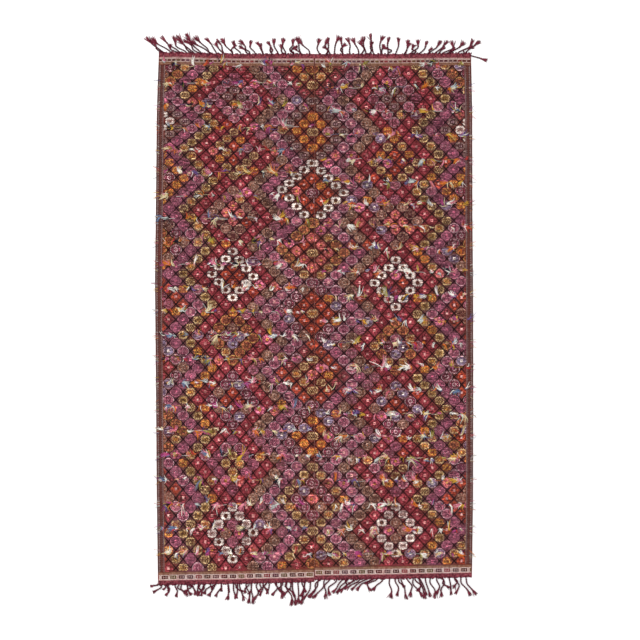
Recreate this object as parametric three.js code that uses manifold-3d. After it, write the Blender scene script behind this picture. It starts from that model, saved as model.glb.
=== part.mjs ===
// A flat-woven rug lying flat: two loom widths sewn side by side down the middle, rows of loose yarn tufts
// on the face, and at each end a plain skirt with a fringe of plied cords that end in brushed tips.
// Millimetres, +Z up. X runs across the rug and Y along it; the origin is the middle of the underside.
import * as THREE from "three";
import { mergeVertices } from "three/addons/utils/BufferGeometryUtils.js";
import Module from "manifold-3d";

// Cloth
const LOOM_WIDTH = 760; // one panel, from the centre seam to the selvedge
const CLOTH = 3.4; // the brocaded cloth, with its pattern yarns
const SKIRT_CLOTH = 2.6; // the plain skirt at each end
const SKIRT_DEPTH = 20; // along the rug
const GAP = 0.3; // between neighbouring pieces

// How far each selvedge strays outwards, down the rug from its top end
const SELVEDGE = [
  { along: 1290, left: -13, right: -9 },
  { along: 1000, left: -3, right: -3 },
  { along: 490, left: 2, right: -2 },
  { along: 180, left: 6, right: 1 },
  { along: -230, left: 2, right: 2 },
  { along: -860, left: -3, right: 1 },
  { along: -1290, left: -9, right: -5 },
];

// Where each panel's patterned cloth ends, from the seam (0) to the selvedge (1)
const LEFT_ENDS = [
  { across: 0, top: 1253, bottom: -1242 },
  { across: 0.5, top: 1252, bottom: -1251 },
  { across: 0.88, top: 1260, bottom: -1255 },
  { across: 1, top: 1258, bottom: -1258 },
];
const RIGHT_ENDS = [
  { across: 0, top: 1252, bottom: -1233 },
  { across: 0.5, top: 1252, bottom: -1227 },
  { across: 0.88, top: 1256, bottom: -1221 },
  { across: 1, top: 1254, bottom: -1219 },
];

// Fringe cords: how they lie along each end, read between these places across the rug.
// lean is the sideways run for each millimetre outwards, and reach is how far out the tips lie.
const TOP_LAY = [
  { across: -742, lean: -1.05, reach: 77 },
  { across: -670, lean: -1.1, reach: 77 },
  { across: -598, lean: -1.0, reach: 82 },
  { across: -526, lean: -0.75, reach: 86 },
  { across: -444, lean: -0.45, reach: 82 },
  { across: -358, lean: -0.6, reach: 72 },
  { across: -252, lean: -0.35, reach: 67 },
  { across: -142, lean: -0.25, reach: 72 },
  { across: -12, lean: -0.4, reach: 77 },
  { across: 74, lean: 0.18, reach: 82 },
  { across: 170, lean: -0.15, reach: 82 },
  { across: 266, lean: -0.2, reach: 96 },
  { across: 372, lean: 0.1, reach: 72 },
  { across: 459, lean: 0.6, reach: 67 },
  { across: 564, lean: 1.0, reach: 62 },
  { across: 660, lean: 1.2, reach: 58 },
  { across: 732, lean: 0.9, reach: 62 },
];
const BOTTOM_LAY = [
  { across: -742, lean: -1.1, reach: 43 },
  { across: -684, lean: 0.1, reach: 53 },
  { across: -627, lean: 0.4, reach: 58 },
  { across: -550, lean: -0.1, reach: 62 },
  { across: -478, lean: -0.6, reach: 53 },
  { across: -425, lean: 0.0, reach: 72 },
  { across: -358, lean: 0.26, reach: 86 },
  { across: -300, lean: 0.0, reach: 91 },
  { across: -252, lean: -0.2, reach: 77 },
  { across: -204, lean: 0.0, reach: 43 },
  { across: -146, lean: 0.15, reach: 101 },
  { across: -70, lean: 0.0, reach: 110 },
  { across: -8, lean: -0.3, reach: 96 },
  { across: 26, lean: -0.35, reach: 100 },
  { across: 98, lean: -0.5, reach: 84 },
  { across: 170, lean: -0.82, reach: 60 },
  { across: 276, lean: -1.45, reach: 50 },
  { across: 334, lean: -0.7, reach: 62 },
  { across: 363, lean: 0.1, reach: 88 },
  { across: 435, lean: 0.35, reach: 92 },
  { across: 531, lean: 0.2, reach: 102 },
  { across: 603, lean: 0.05, reach: 84 },
  { across: 675, lean: 0.25, reach: 88 },
  { across: 742, lean: 0.4, reach: 84 },
];
const CORD_ROOT = 9; // how deep a cord's root is set in its skirt
const CORD_STRAY = 0.12; // how much single cords differ in reach
// Cords in each panel, how far each sways sideways, and how far two neighbours are drawn together at their tips
const CORDS = {
  top: { lay: TOP_LAY, count: 20, sway: 5, pair: 5 },
  bottom: { lay: BOTTOM_LAY, count: 26, sway: 4, pair: 0 },
};
// One cord from its root to its tip: plied neck, knot and brushed end
const CORD_FORM = [
  { at: 0, wide: 4.2, under: 0.5, over: 1.9 },
  { at: 0.16, wide: 6.4, under: 0, over: 5.4 },
  { at: 0.4, wide: 6.4, under: 0, over: 5.4 },
  { at: 0.62, wide: 6.4, under: 0, over: 5.4 },
  { at: 0.7, wide: 9.6, under: 0, over: 7.2 },
  { at: 0.84, wide: 11, under: 0, over: 6.2 },
  { at: 1, wide: 8, under: 0, over: 3 },
];
// Two cords that leave a corner of a skirt sideways: where they start and how they run
const CORNER_CORDS = [
  { strip: "fringe_top_right", x: 742, y: 1266, run: 88, fall: -20, hook: -6 },
  { strip: "fringe_bottom_left", x: -738, y: -1270, run: -52, fall: -26, hook: 16 },
];

// Tufts: loose yarn locks knotted into the face in rows
const TUFT_ROWS = 21;
const TUFT_TOP = 1136; // the first row
const TUFT_PITCH = 106.7; // between rows, near the top
const TUFT_WIDEN = 0.32; // added to the pitch, row by row
const TUFTS_ACROSS = 4; // in each panel and row
const TUFT_LENGTH = 32; // the shortest
const TUFT_LONGER = 22; // the longest adds this
const TUFT_TURN = 0.5; // how far a lock turns from lying across the rug, in radians
const TUFT_BEND = 12; // sideways curl at the tip
const TUFT_MARGIN = 78; // clear of the centre seam
// How much further down the rug the right panel's rows lie, as the two panels were woven apart
const RIGHT_ROWS = [
  { row: 0, down: 22 },
  { row: 3, down: 48 },
  { row: 7.5, down: 32 },
  { row: 10, down: 41 },
  { row: 14, down: 36 },
  { row: 17, down: 3 },
  { row: 20, down: 1 },
];
// One lock from its root to its tip
const TUFT_FORM = [
  { at: 0, height: -2, round: 3.2 },
  { at: 0.12, height: 1.9, round: 3.6 },
  { at: 0.5, height: 2.9, round: 4.4 },
  { at: 1, height: 1.6, round: 1.8 },
];
const TUFT_FLATTEN = 0.6; // height of a lock against its width, as it lies

const wasm = await Module();
wasm.setup();

// An even, repeatable scatter between 0 and 1
function scatter(n) {
  const s = Math.sin(n * 12.9898) * 43758.5453;
  return s - Math.floor(s);
}

// Reads one column of a table between its rows, along another column
function read(table, key, at, column) {
  const rising = table.at(-1)[key] > table[0][key];
  const rows = rising ? table : [...table].reverse();
  if (at <= rows[0][key]) return rows[0][column];
  for (let i = 1; i < rows.length; i++) {
    const [a, b] = [rows[i - 1], rows[i]];
    if (at <= b[key]) return THREE.MathUtils.mapLinear(at, a[key], b[key], a[column], b[column]);
  }
  return rows.at(-1)[column];
}

// A closed geometry as a solid that can be joined to others
function solid(geometry) {
  const bare = geometry.clone();
  for (const name of ["normal", "uv"]) bare.deleteAttribute(name);
  const merged = mergeVertices(bare, 1e-4);
  return new wasm.Manifold(
    new wasm.Mesh({
      numProp: 3,
      vertProperties: new Float32Array(merged.attributes.position.array),
      triVerts: new Uint32Array(merged.index.array),
    }),
  );
}

// A joined solid as a named mesh
function piece(name, made, material) {
  const { vertProperties, triVerts } = made.getMesh();
  const geometry = new THREE.BufferGeometry();
  geometry.setAttribute("position", new THREE.BufferAttribute(vertProperties, 3));
  geometry.setIndex(new THREE.BufferAttribute(triVerts, 1));
  geometry.computeVertexNormals();
  const mesh = new THREE.Mesh(geometry, material);
  mesh.name = name;
  return mesh;
}

// A closed skin over rings of equal count, each ring turning anticlockwise about the way it runs
function loft(rings) {
  const count = rings[0].length;
  const index = [];
  for (let r = 0; r + 1 < rings.length; r++) {
    for (let k = 0; k < count; k++) {
      const [a, b] = [r * count + k, r * count + ((k + 1) % count)];
      index.push(a, b, b + count, a, b + count, a + count);
    }
  }
  const last = (rings.length - 1) * count;
  for (let k = 1; k + 1 < count; k++) index.push(0, k + 1, k, last, last + k, last + k + 1);
  const geometry = new THREE.BufferGeometry().setFromPoints(rings.flat());
  geometry.setIndex(index);
  return geometry;
}

// A flat outline as cloth lying on the floor
function cloth(outline, thickness) {
  return solid(new THREE.ExtrudeGeometry(new THREE.Shape(outline), { depth: thickness, bevelEnabled: false }));
}

const selvedge = (side, y) =>
  side * (LOOM_WIDTH + read(SELVEDGE, "along", y, side < 0 ? "left" : "right"));
const endsOf = (side) => (side < 0 ? LEFT_ENDS : RIGHT_ENDS);
const endLine = (side, end, x) => read(endsOf(side), "across", Math.abs(x) / LOOM_WIDTH, end);

// Points along a panel's end, from the seam to the selvedge, moved outwards by a distance
function endPoints(side, end, outwards) {
  const out = end === "top" ? 1 : -1;
  return endsOf(side).map((row) => {
    const y = row[end] + out * outwards;
    const x = row.across === 1 ? selvedge(side, y) : side * (row.across * LOOM_WIDTH + GAP / 2);
    return new THREE.Vector2(x, y);
  });
}

function panelCloth(side) {
  const top = endPoints(side, "top", 0);
  const bottom = endPoints(side, "bottom", 0);
  const rows = SELVEDGE.slice(1, -1).map((row) => new THREE.Vector2(selvedge(side, row.along), row.along));
  const edge = new THREE.SplineCurve([top.at(-1), ...rows, bottom.at(-1)]).getPoints(18);
  return cloth([...top.slice(0, -1), ...edge, ...bottom.slice(0, -1).reverse()], CLOTH);
}

// One yarn lock: root, bearing across the rug and sideways curl
function tuftLock(x, y, bearing, length, bend) {
  const ahead = new THREE.Vector3(Math.cos(bearing), Math.sin(bearing), 0);
  const aside = new THREE.Vector3(-ahead.y, ahead.x, 0);
  const points = TUFT_FORM.map(({ at, height }) =>
    new THREE.Vector3(x, y, CLOTH + height)
      .addScaledVector(ahead, at * length)
      .addScaledVector(aside, at * at * bend),
  );
  const rings = points.map((point, i) => {
    const run = points[Math.min(i + 1, points.length - 1)].clone().sub(points[Math.max(i - 1, 0)]).normalize();
    const flank = new THREE.Vector3(-run.y, run.x, 0).normalize();
    const lift = run.clone().cross(flank);
    const { round } = TUFT_FORM[i];
    return [-5, -1, 3].map((sixth) => {
      const turn = (sixth * Math.PI) / 6;
      return point.clone()
        .addScaledVector(flank, Math.cos(turn) * round)
        .addScaledVector(lift, Math.sin(turn) * round * TUFT_FLATTEN);
    });
  });
  return solid(loft(rings));
}

function panel(side) {
  let made = panelCloth(side);
  const stretch = LOOM_WIDTH - TUFT_MARGIN;
  for (let row = 0; row < TUFT_ROWS; row++) {
    const down = side < 0 ? 0 : read(RIGHT_ROWS, "row", row, "down");
    const y = TUFT_TOP - row * (TUFT_PITCH + TUFT_WIDEN * row) - down;
    const towards = scatter(row + 0.25 * side) < 0.5 ? 0 : Math.PI;
    for (let place = 0; place < TUFTS_ACROSS; place++) {
      const seed = 100 * row + 10 * place + (side < 0 ? 1 : 2);
      const share = (place + 0.25 + 0.5 * scatter(seed)) / TUFTS_ACROSS;
      const x = side * (TUFT_MARGIN + share * stretch);
      const bearing = towards + TUFT_TURN * (2 * scatter(seed + 0.5) - 1);
      const length = TUFT_LENGTH + TUFT_LONGER * scatter(seed + 0.7);
      const bend = TUFT_BEND * (2 * scatter(seed + 0.9) - 1);
      made = made.add(tuftLock(x, y, bearing, length, bend));
    }
  }
  return made;
}

// One fringe cord along points on the floor
function cord(points) {
  const rings = points.map((point, i) => {
    const run = points[Math.min(i + 1, points.length - 1)].clone().sub(points[Math.max(i - 1, 0)]).normalize();
    const { wide, under, over } = CORD_FORM[i];
    const at = (aside, height) =>
      new THREE.Vector3(point.x + run.y * aside * wide, point.y - run.x * aside * wide, height);
    return [at(0.5, under), at(-0.5, under), at(-0.34, over), at(0.34, over)];
  });
  return solid(loft(rings));
}

// A skirt with its fringe
function fringe(name, side, end) {
  const out = end === "top" ? 1 : -1;
  const inner = endPoints(side, end, GAP);
  const outer = endPoints(side, end, GAP + SKIRT_DEPTH);
  let made = cloth([...inner, ...outer.reverse()], SKIRT_CLOTH);
  const { lay, count, sway, pair } = CORDS[end];
  for (let i = 0; i < count; i++) {
    const seed = 1000 + 100 * (end === "top" ? 1 : 2) + i + (side < 0 ? 0 : 50);
    const x = side * (((i + 0.5 + 0.2 * (scatter(seed) - 0.5)) / count) * (LOOM_WIDTH - 24) + 6);
    const reach = read(lay, "across", x, "reach") * (1 + CORD_STRAY * (2 * scatter(seed + 0.3) - 1));
    const lean = read(lay, "across", x, "lean");
    const start = endLine(side, end, x) + out * (GAP + SKIRT_DEPTH - CORD_ROOT);
    made = made.add(
      cord(
        CORD_FORM.map(({ at }) => {
          const drawn = side * pair * (i % 2 ? -1 : 1) * at * at;
          const aside = sway * at * Math.sin(6.3 * at + 0.03 * x) + drawn;
          const beyond = Math.max(at * (reach + CORD_ROOT) - CORD_ROOT, 0);
          return new THREE.Vector2(x + lean * beyond + aside, start + out * at * (reach + CORD_ROOT));
        }),
      ),
    );
  }
  for (const { strip, x, y, run, fall, hook } of CORNER_CORDS) {
    if (strip !== name) continue;
    made = made.add(
      cord(CORD_FORM.map(({ at }) => new THREE.Vector2(x + run * at, y + fall * at + hook * at * at))),
    );
  }
  return made;
}

const patterned = new THREE.MeshStandardMaterial({ color: 0x7a4a40, roughness: 0.95, metalness: 0 });
const crimson = new THREE.MeshStandardMaterial({ color: 0x6d2a38, roughness: 0.95, metalness: 0 });

const laid = new THREE.Group();
laid.add(piece("panel_left", panel(-1), patterned));
laid.add(piece("panel_right", panel(1), patterned));
for (const end of ["top", "bottom"]) {
  laid.add(piece(`fringe_${end}_left`, fringe(`fringe_${end}_left`, -1, end), crimson));
  laid.add(piece(`fringe_${end}_right`, fringe(`fringe_${end}_right`, 1, end), crimson));
}

// The origin is under the middle of everything that lies on the floor
const middle = new THREE.Box3().setFromObject(laid).getCenter(new THREE.Vector3());
laid.position.set(-middle.x, -middle.y, 0);

const rug = new THREE.Group();
rug.add(laid);

export default rug;
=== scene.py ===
"""A flat-woven rug lying flat: two loom widths sewn side by side, a brocaded lattice of medallions,
rows of loose yarn tufts, and at each end a plain skirt with a fringe of knotted cords."""
import math

import bpy
import numpy as np
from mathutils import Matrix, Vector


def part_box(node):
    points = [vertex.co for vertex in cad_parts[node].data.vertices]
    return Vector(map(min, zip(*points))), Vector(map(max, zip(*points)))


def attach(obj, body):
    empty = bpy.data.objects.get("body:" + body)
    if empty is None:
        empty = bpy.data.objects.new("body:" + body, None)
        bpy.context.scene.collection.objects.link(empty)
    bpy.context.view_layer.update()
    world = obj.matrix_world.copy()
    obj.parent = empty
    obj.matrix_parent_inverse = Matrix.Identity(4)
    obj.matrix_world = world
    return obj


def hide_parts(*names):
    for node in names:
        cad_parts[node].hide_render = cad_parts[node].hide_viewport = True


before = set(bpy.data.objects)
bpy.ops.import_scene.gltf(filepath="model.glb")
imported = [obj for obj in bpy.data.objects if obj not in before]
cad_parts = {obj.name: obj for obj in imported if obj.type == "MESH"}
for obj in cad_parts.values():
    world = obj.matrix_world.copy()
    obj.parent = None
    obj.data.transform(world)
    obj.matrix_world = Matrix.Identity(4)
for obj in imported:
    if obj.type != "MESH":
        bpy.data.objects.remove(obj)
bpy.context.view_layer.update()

# Ground cloth: two loom widths of plain rep weave in maroon and brown wool, each woven by itself.
# Each is one thin sheet lying on the floor, with a selvedge that strays and ends that aren't quite square.
MM = 0.001
SIDES = {"left": -1, "right": 1}
LOOM_WIDTH, GROUND, CLOTH, GAP = 760, 2.3, 3.4, 0.3
GROUND_STEPS = (40, 130)
STRAY = {
    "along": (-1290, -860, -230, 180, 490, 1000, 1290),
    "left": (-9, -3, 2, 6, 2, -3, -13),
    "right": (-5, 1, 2, 1, -2, -3, -9),
}
# Where the ends lie, from the seam across to the selvedge
ACROSS = (0, 0.5, 0.88, 1)
ENDS = {
    "left": {"top": (1253, 1252, 1260, 1258), "bottom": (-1242, -1251, -1255, -1258)},
    "right": {"top": (1252, 1252, 1256, 1254), "bottom": (-1233, -1227, -1221, -1219)},
}
SEAM_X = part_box("panel_left")[1][0] / MM + GAP / 2
MIDDLE_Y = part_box("panel_left")[0][1] / MM - ENDS["left"]["bottom"][-1]
# The lattice: how far from the seam some of its columns lie, counted outwards from each panel's axis, and
# where every eighth row lies, on the axis and along the seam. The rows sag a little towards the seam, where
# those of the two panels meet, and some rise towards the selvedge.
COLUMNS_TO_SEAM, COLUMNS_TO_RIM, ROWS_TO_DIAMOND = 11, 8, 8
COLUMNS = {
    "count": (-14, -8, -4, 0, 4, 8, 14),
    "left": (-94, 122, 262, 393, 525, 666, 879),
    "right": (-112, 103, 255, 390, 530, 671, 882),
}
DIAMOND_ROWS = ROWS_TO_DIAMOND * np.arange(-1, 9)
DIAMONDS = {
    "left": (1332, 1066, 797, 508, 214, -80, -391, -693, -1029, -1362),
    "right": (1376, 1059, 750, 466, 173, -133, -435, -717, -1015, -1312),
    "seam": (1352, 1047, 747, 461, 175, -121, -415, -711, -1018, -1332),
}
RISE = {"row": (0, 8, 15, 22, 48, 64), "left": (10, 29, 28, 5, 2, 0), "right": (0, 5, 8, 8, 6, 0)}
# Towards its upper end each panel is woven narrower, and its columns draw in
DRAWN_IN = {"along": (300, 800, 1100), "by": (0, 5, 9)}
# Each panel's length and area off the loom, in metres
PANEL_FLAT = {"left": (2.516, 1.902), "right": (2.489, 1.883)}
# The ground's dye by rings of the lattice, and how light all colours are at the rug's middle and how much
# lighter they get a millimetre further down the rug
GROUND_TINT = {
    "ring": (0, 3, 5, 7, 9, 11, 13, 15),
    "dye": ("#622c2a", "#5c2e30", "#762b30", "#53352a", "#6b3848", "#5c3530", "#6c302a", "#5c302a"),
}
MIDDLE_LIGHTNESS, LIGHTENING = 1.007, 0.0001
# A wave texture's scale for stripes a millimetre apart, and the free margin of a baked map
STRIPES_A_MM, BAKE_MARGIN = 314.16, 0.01


def colour(dye):
    """An sRGB hex value as linear red, green, blue and alpha."""
    parts = [int(dye[i : i + 2], 16) / 255 for i in (1, 3, 5)]
    return [c / 12.92 if c <= 0.04045 else ((c + 0.055) / 1.055) ** 2.4 for c in parts] + [1.0]


def add(tree, kind, settings, *links):
    """One node with its settings and its links, each link a socket's name and what feeds it."""
    made = tree.nodes.new(kind)
    for key, value in settings.items():
        if isinstance(key, str) and hasattr(made, key):
            setattr(made, key, value)
        else:
            made.inputs[key].default_value = value
    for socket, source in links:
        tree.links.new(source, made.inputs[socket])
    return made


def matt(name, rough):
    """A new matt material, its node tree and its shader."""
    made = bpy.data.materials.new(name)
    made.use_nodes = True
    shader = made.node_tree.nodes["Principled BSDF"]
    shader.inputs["Roughness"].default_value = rough
    shader.inputs["Specular IOR Level"].default_value = 0.08
    return made, made.node_tree, shader


def edge_x(side, y):
    """How far from the seam the selvedge lies."""
    return LOOM_WIDTH + np.interp(y, STRAY["along"], STRAY[side])


def end_y(side, end, x):
    """How far along the rug a panel's end lies."""
    return np.interp(np.abs(x) / LOOM_WIDTH, ACROSS, ENDS[side][end])


def column_x(side, column):
    """How far across a lattice column lies, counted from the panel's axis."""
    return SIDES[side] * np.interp(SIDES[side] * column, COLUMNS["count"], COLUMNS[side])


def columns_out(side, x):
    """How many columns beyond the panel's axis a point lies, less than none towards the seam."""
    return np.interp(SIDES[side] * x, COLUMNS[side], COLUMNS["count"])


def seam_share(side, x):
    """0 on the panel's axis and beyond it, 1 at the seam."""
    return np.clip(-columns_out(side, x) / COLUMNS_TO_SEAM, 0, 1)


def row_y(side, row, x):
    """How far along the rug a lattice row lies, counted down from the first diamond."""
    share = seam_share(side, x)
    on_axis, on_seam = (np.interp(row, DIAMOND_ROWS, DIAMONDS[line]) for line in (side, "seam"))
    risen = np.interp(row, RISE["row"], RISE[side]) * np.clip(columns_out(side, x) / COLUMNS_TO_RIM, 0, 1)
    return (1 - share) * on_axis + share * on_seam + risen


def drawn_in(side, x, y):
    """Where a point of the lattice lies across, once the panel's columns draw in."""
    return x - SIDES[side] * np.interp(y, DRAWN_IN["along"], DRAWN_IN["by"]) * (1 - seam_share(side, x))


def ring_at(side, x, y):
    """How many steps of the lattice a point lies from the nearest diamond's middle."""
    down = [np.interp(-y, [-v for v in DIAMONDS[line]], DIAMOND_ROWS) for line in (side, "seam")]
    share = seam_share(side, x)
    row = (1 - share) * down[0] + share * down[1]
    off = np.abs((row + ROWS_TO_DIAMOND / 2) % ROWS_TO_DIAMOND - ROWS_TO_DIAMOND / 2)
    return np.abs(columns_out(side, x)) + off


def lighter_down_rug(y):
    """How much the colours are scaled: darkest at the upper end, lighter towards the lower one."""
    return MIDDLE_LIGHTNESS - LIGHTENING * y


def to_frame(points):
    """Millimetres from the seam's middle to metres in the part's frame."""
    return (np.asarray(points, float) + (SEAM_X, MIDDLE_Y, 0)) * MM


def bake_map(mesh, bands, band):
    """A flat map from above for the textures, with a band of it for each yarn."""
    corner, at = np.empty(len(mesh.loops), np.int32), np.empty(len(mesh.vertices) * 3)
    mesh.loops.foreach_get("vertex_index", corner)
    mesh.vertices.foreach_get("co", at)
    at = at.reshape(-1, 3)[corner, :2]
    at = BAKE_MARGIN + (1 - 2 * BAKE_MARGIN) * (at - at.min(0)) / np.ptp(at, axis=0)
    at[:, 0] = (at[:, 0] + band) / bands
    mesh.uv_layers.new(name="OFBake").data.foreach_set("uv", at.ravel())


def sheet_of(name, side, top_line, bottom_line, steps, thick):
    """A grid drawn out to a cloth's outline, its rim turned down to the floor and closed underneath."""
    bpy.ops.object.select_all(action="DESELECT")
    bpy.ops.mesh.primitive_grid_add(x_subdivisions=steps[0], y_subdivisions=steps[1], size=2)
    piece = bpy.context.object
    piece.name = piece.data.name = name
    at = np.array([v.co for v in piece.data.vertices])
    across, along = (at[:, 0] + 1) / 2, (at[:, 1] + 1) / 2
    x = GAP / 2 + across * (LOOM_WIDTH - GAP / 2)
    y = bottom_line(x) + along * (top_line(x) - bottom_line(x))
    x = GAP / 2 + across * (edge_x(side, y) - GAP / 2)
    laid = to_frame(np.column_stack([SIDES[side] * x, y, np.full(len(x), thick)]))
    piece.data.vertices.foreach_set("co", laid.ravel())
    bpy.ops.object.mode_set(mode="EDIT")
    bpy.ops.mesh.select_all(action="SELECT")
    bpy.ops.mesh.region_to_loop()
    bpy.ops.mesh.extrude_edges_move(TRANSFORM_OT_translate={"value": (0, 0, -thick * MM)})
    bpy.ops.mesh.edge_face_add()
    bpy.ops.mesh.select_all(action="SELECT")
    bpy.ops.mesh.normals_make_consistent(inside=False)
    bpy.ops.object.mode_set(mode="OBJECT")
    piece.data.uv_layers.remove(piece.data.uv_layers[0])
    bake_map(piece.data, 1, 0)
    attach(piece, "root")
    return piece


# Rep weave of hand-spun wool: matt, ribbed along the warp, its dye darker or redder from zone to zone
rep_weave, tree, shader = matt("rep_weave", 0.95)
place = add(tree, "ShaderNodeTexCoord", {}).outputs["Object"]
dye = add(tree, "ShaderNodeAttribute", {"attribute_name": "dye"})
abrash = add(tree, "ShaderNodeTexNoise", {"Scale": 1000 / 22, "Detail": 4.0}, ("Vector", place))
shade = add(
    tree, "ShaderNodeMapRange", {"From Min": 0.3, "From Max": 0.7, "To Min": 0.7, "To Max": 1.3},
    ("Value", abrash.outputs["Fac"]),
)
tone = add(
    tree, "ShaderNodeVectorMath", {"operation": "SCALE"},
    (0, dye.outputs["Color"]), ("Scale", shade.outputs[0]),
)
tree.links.new(tone.outputs[0], shader.inputs["Base Color"])
warp, weft = (
    add(tree, "ShaderNodeTexWave", {"bands_direction": way, "Scale": STRIPES_A_MM / apart}, ("Vector", place))
    for way, apart in (("X", 3.2), ("Y", 2.3))
)
ribs = add(
    tree, "ShaderNodeMath", {"operation": "MULTIPLY"}, (0, warp.outputs["Fac"]), (1, weft.outputs["Fac"])
)
bump = add(tree, "ShaderNodeBump", {"Strength": 0.6, "Distance": 0.0008}, ("Height", ribs.outputs[0]))
tree.links.new(bump.outputs[0], shader.inputs["Normal"])

for side in SIDES:
    piece = sheet_of(
        f"ground_{side}", side, lambda x: end_y(side, "top", x), lambda x: end_y(side, "bottom", x),
        GROUND_STEPS, GROUND,
    )
    at = np.array([v.co for v in piece.data.vertices]) / MM - (SEAM_X, MIDDLE_Y, 0)
    ring = ring_at(side, at[:, 0], at[:, 1])
    dyes = np.array([colour(d) for d in GROUND_TINT["dye"]])
    tint = np.column_stack([np.interp(ring, GROUND_TINT["ring"], dyes[:, c]) for c in range(4)])
    # The ground's colour is darker towards the rug's upper end and lighter towards the lower one
    tint[:, :3] *= lighter_down_rug(at[:, 1:2])
    piece.data.attributes.new("dye", "FLOAT_COLOR", "POINT").data.foreach_set("color", tint.ravel())
    piece.data.materials.append(rep_weave)
    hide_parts(f"panel_{side}")

# Lattice lines: wrapped outlines of dark wool that cross the cloth both ways and part it into diamonds.
# Each side of a diamond is a few slanting wraps that lie on the ground weave.
LATTICE_ROWS, LATTICE_COLUMNS, WRAPS, WRAP_OVERLAP = range(-6, 64), range(-13, 14), 3, 0.04
LINE_HALF, LINE_LOW, LINE_HIGH, LINE_SLOPE = (4.6, 3.1, 4.6), GROUND - 0.6, 3.2, 3
LINE_CLEAR, SHORTEST_WRAP = 3, 2
TOP_BAND, BOTTOM_BAND, SELVEDGE_WIDE = 37, 45, 33
FLOAT_POINTS, FLOAT_FACES = 6, 8


def wool(name, deep, light, blotch=12, stripe=0, specks_and_hollow_shade=0.0):
    """Hand-spun dyed wool, matt and fibrous, its dye taken unevenly.

    Stripes are two shades plied together; the specks, 6 mm apart, are lighter and darker spots, the darker
    ones a painted shade of the hollows between floats.
    """
    made, tree, shader = matt(name, 0.92)
    place = add(tree, "ShaderNodeTexCoord", {}).outputs["Object"]
    cloudy = {"Scale": 1000 / blotch, "Detail": 3.0, "Roughness": 0.8}
    uneven = add(tree, "ShaderNodeTexNoise", cloudy, ("Vector", place))
    amount = add(
        tree, "ShaderNodeMapRange", {"From Min": 0.38, "From Max": 0.62}, ("Value", uneven.outputs["Fac"])
    ).outputs[0]
    if stripe:
        wave = {"bands_direction": "X", "Scale": STRIPES_A_MM / stripe}
        lines = add(tree, "ShaderNodeTexWave", wave, ("Vector", place))
        plied = [
            add(tree, "ShaderNodeMath", {"operation": "MULTIPLY", 1: part}, (0, source)).outputs[0]
            for part, source in ((0.6, lines.outputs["Fac"]), (0.4, amount))
        ]
        amount = add(
            tree, "ShaderNodeMath", {"operation": "ADD", "use_clamp": True}, (0, plied[0]), (1, plied[1])
        ).outputs[0]
    dyed = add(tree, "ShaderNodeMix", {"data_type": "RGBA", 6: colour(deep), 7: colour(light)}, (0, amount))
    # The colour is scaled point by point, by the yarn's uneven dye and by any painted shade the piece carries
    depth = add(tree, "ShaderNodeAttribute", {"attribute_name": "shade"}).outputs["Fac"]
    # Specks: lighter spots of yarn, and darker ones that paint the shade of the hollows between floats
    if specks_and_hollow_shade:
        hollows = add(tree, "ShaderNodeTexNoise", {"Scale": 1000 / 6, "Detail": 1.0}, ("Vector", place))
        hollow = add(
            tree, "ShaderNodeMapRange",
            {"From Min": 0.38, "From Max": 0.62, "To Min": 1 - specks_and_hollow_shade, "To Max": 1 + specks_and_hollow_shade},
            ("Value", hollows.outputs["Fac"]),
        )
        depth = add(
            tree, "ShaderNodeMath", {"operation": "MULTIPLY"}, (0, depth), (1, hollow.outputs[0])
        ).outputs[0]
    tone = add(tree, "ShaderNodeVectorMath", {"operation": "SCALE"}, (0, dyed.outputs[2]), ("Scale", depth))
    tree.links.new(tone.outputs[0], shader.inputs["Base Color"])
    fibre = add(
        tree, "ShaderNodeTexNoise", {"Scale": 1000 / 1.8, "Detail": 2.0}, ("Vector", place)
    ).outputs["Fac"]
    bump = add(tree, "ShaderNodeBump", {"Strength": 0.4, "Distance": 0.0005}, ("Height", fibre))
    tree.links.new(bump.outputs[0], shader.inputs["Normal"])
    return made


def dyed(mesh, shade):
    """How much each point's colour is scaled: how deeply the yarn took its dye, with painted shade where a
    piece gives it.
    """
    values = np.broadcast_to(shade, len(mesh.vertices)).astype(np.float32)
    mesh.attributes.new("shade", "FLOAT", "POINT").data.foreach_set("value", values)


def floats(start, end, half, low, high, slope):
    """Yarn floats as low hipped bars from start to end, each 6 points and 8 triangles."""
    start, end = np.asarray(start, float), np.asarray(end, float)
    run = end - start
    length = np.linalg.norm(run, axis=1, keepdims=True)
    run = run / length
    aside = np.column_stack([-run[:, 1], run[:, 0]]) * np.broadcast_to(half, len(run))[:, None]
    tip = run * np.minimum(slope, 0.45 * length)
    flat = [start - aside, end - aside, end + aside, start + aside, start + tip, end - tip]
    points = np.zeros((len(run), FLOAT_POINTS, 3))
    points[:, :, :2] = np.stack(flat, axis=1)
    points[:, :4, 2] = low
    points[:, 4:, 2] = np.broadcast_to(high, len(run))[:, None]
    faces = ((0, 2, 1), (0, 3, 2), (0, 1, 5), (0, 5, 4), (1, 2, 5), (2, 3, 4), (2, 4, 5), (3, 0, 4))
    corners = FLOAT_POINTS * np.arange(len(run))[:, None, None] + np.array(faces)
    return points.reshape(-1, 3), corners.reshape(-1, 3)


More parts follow.
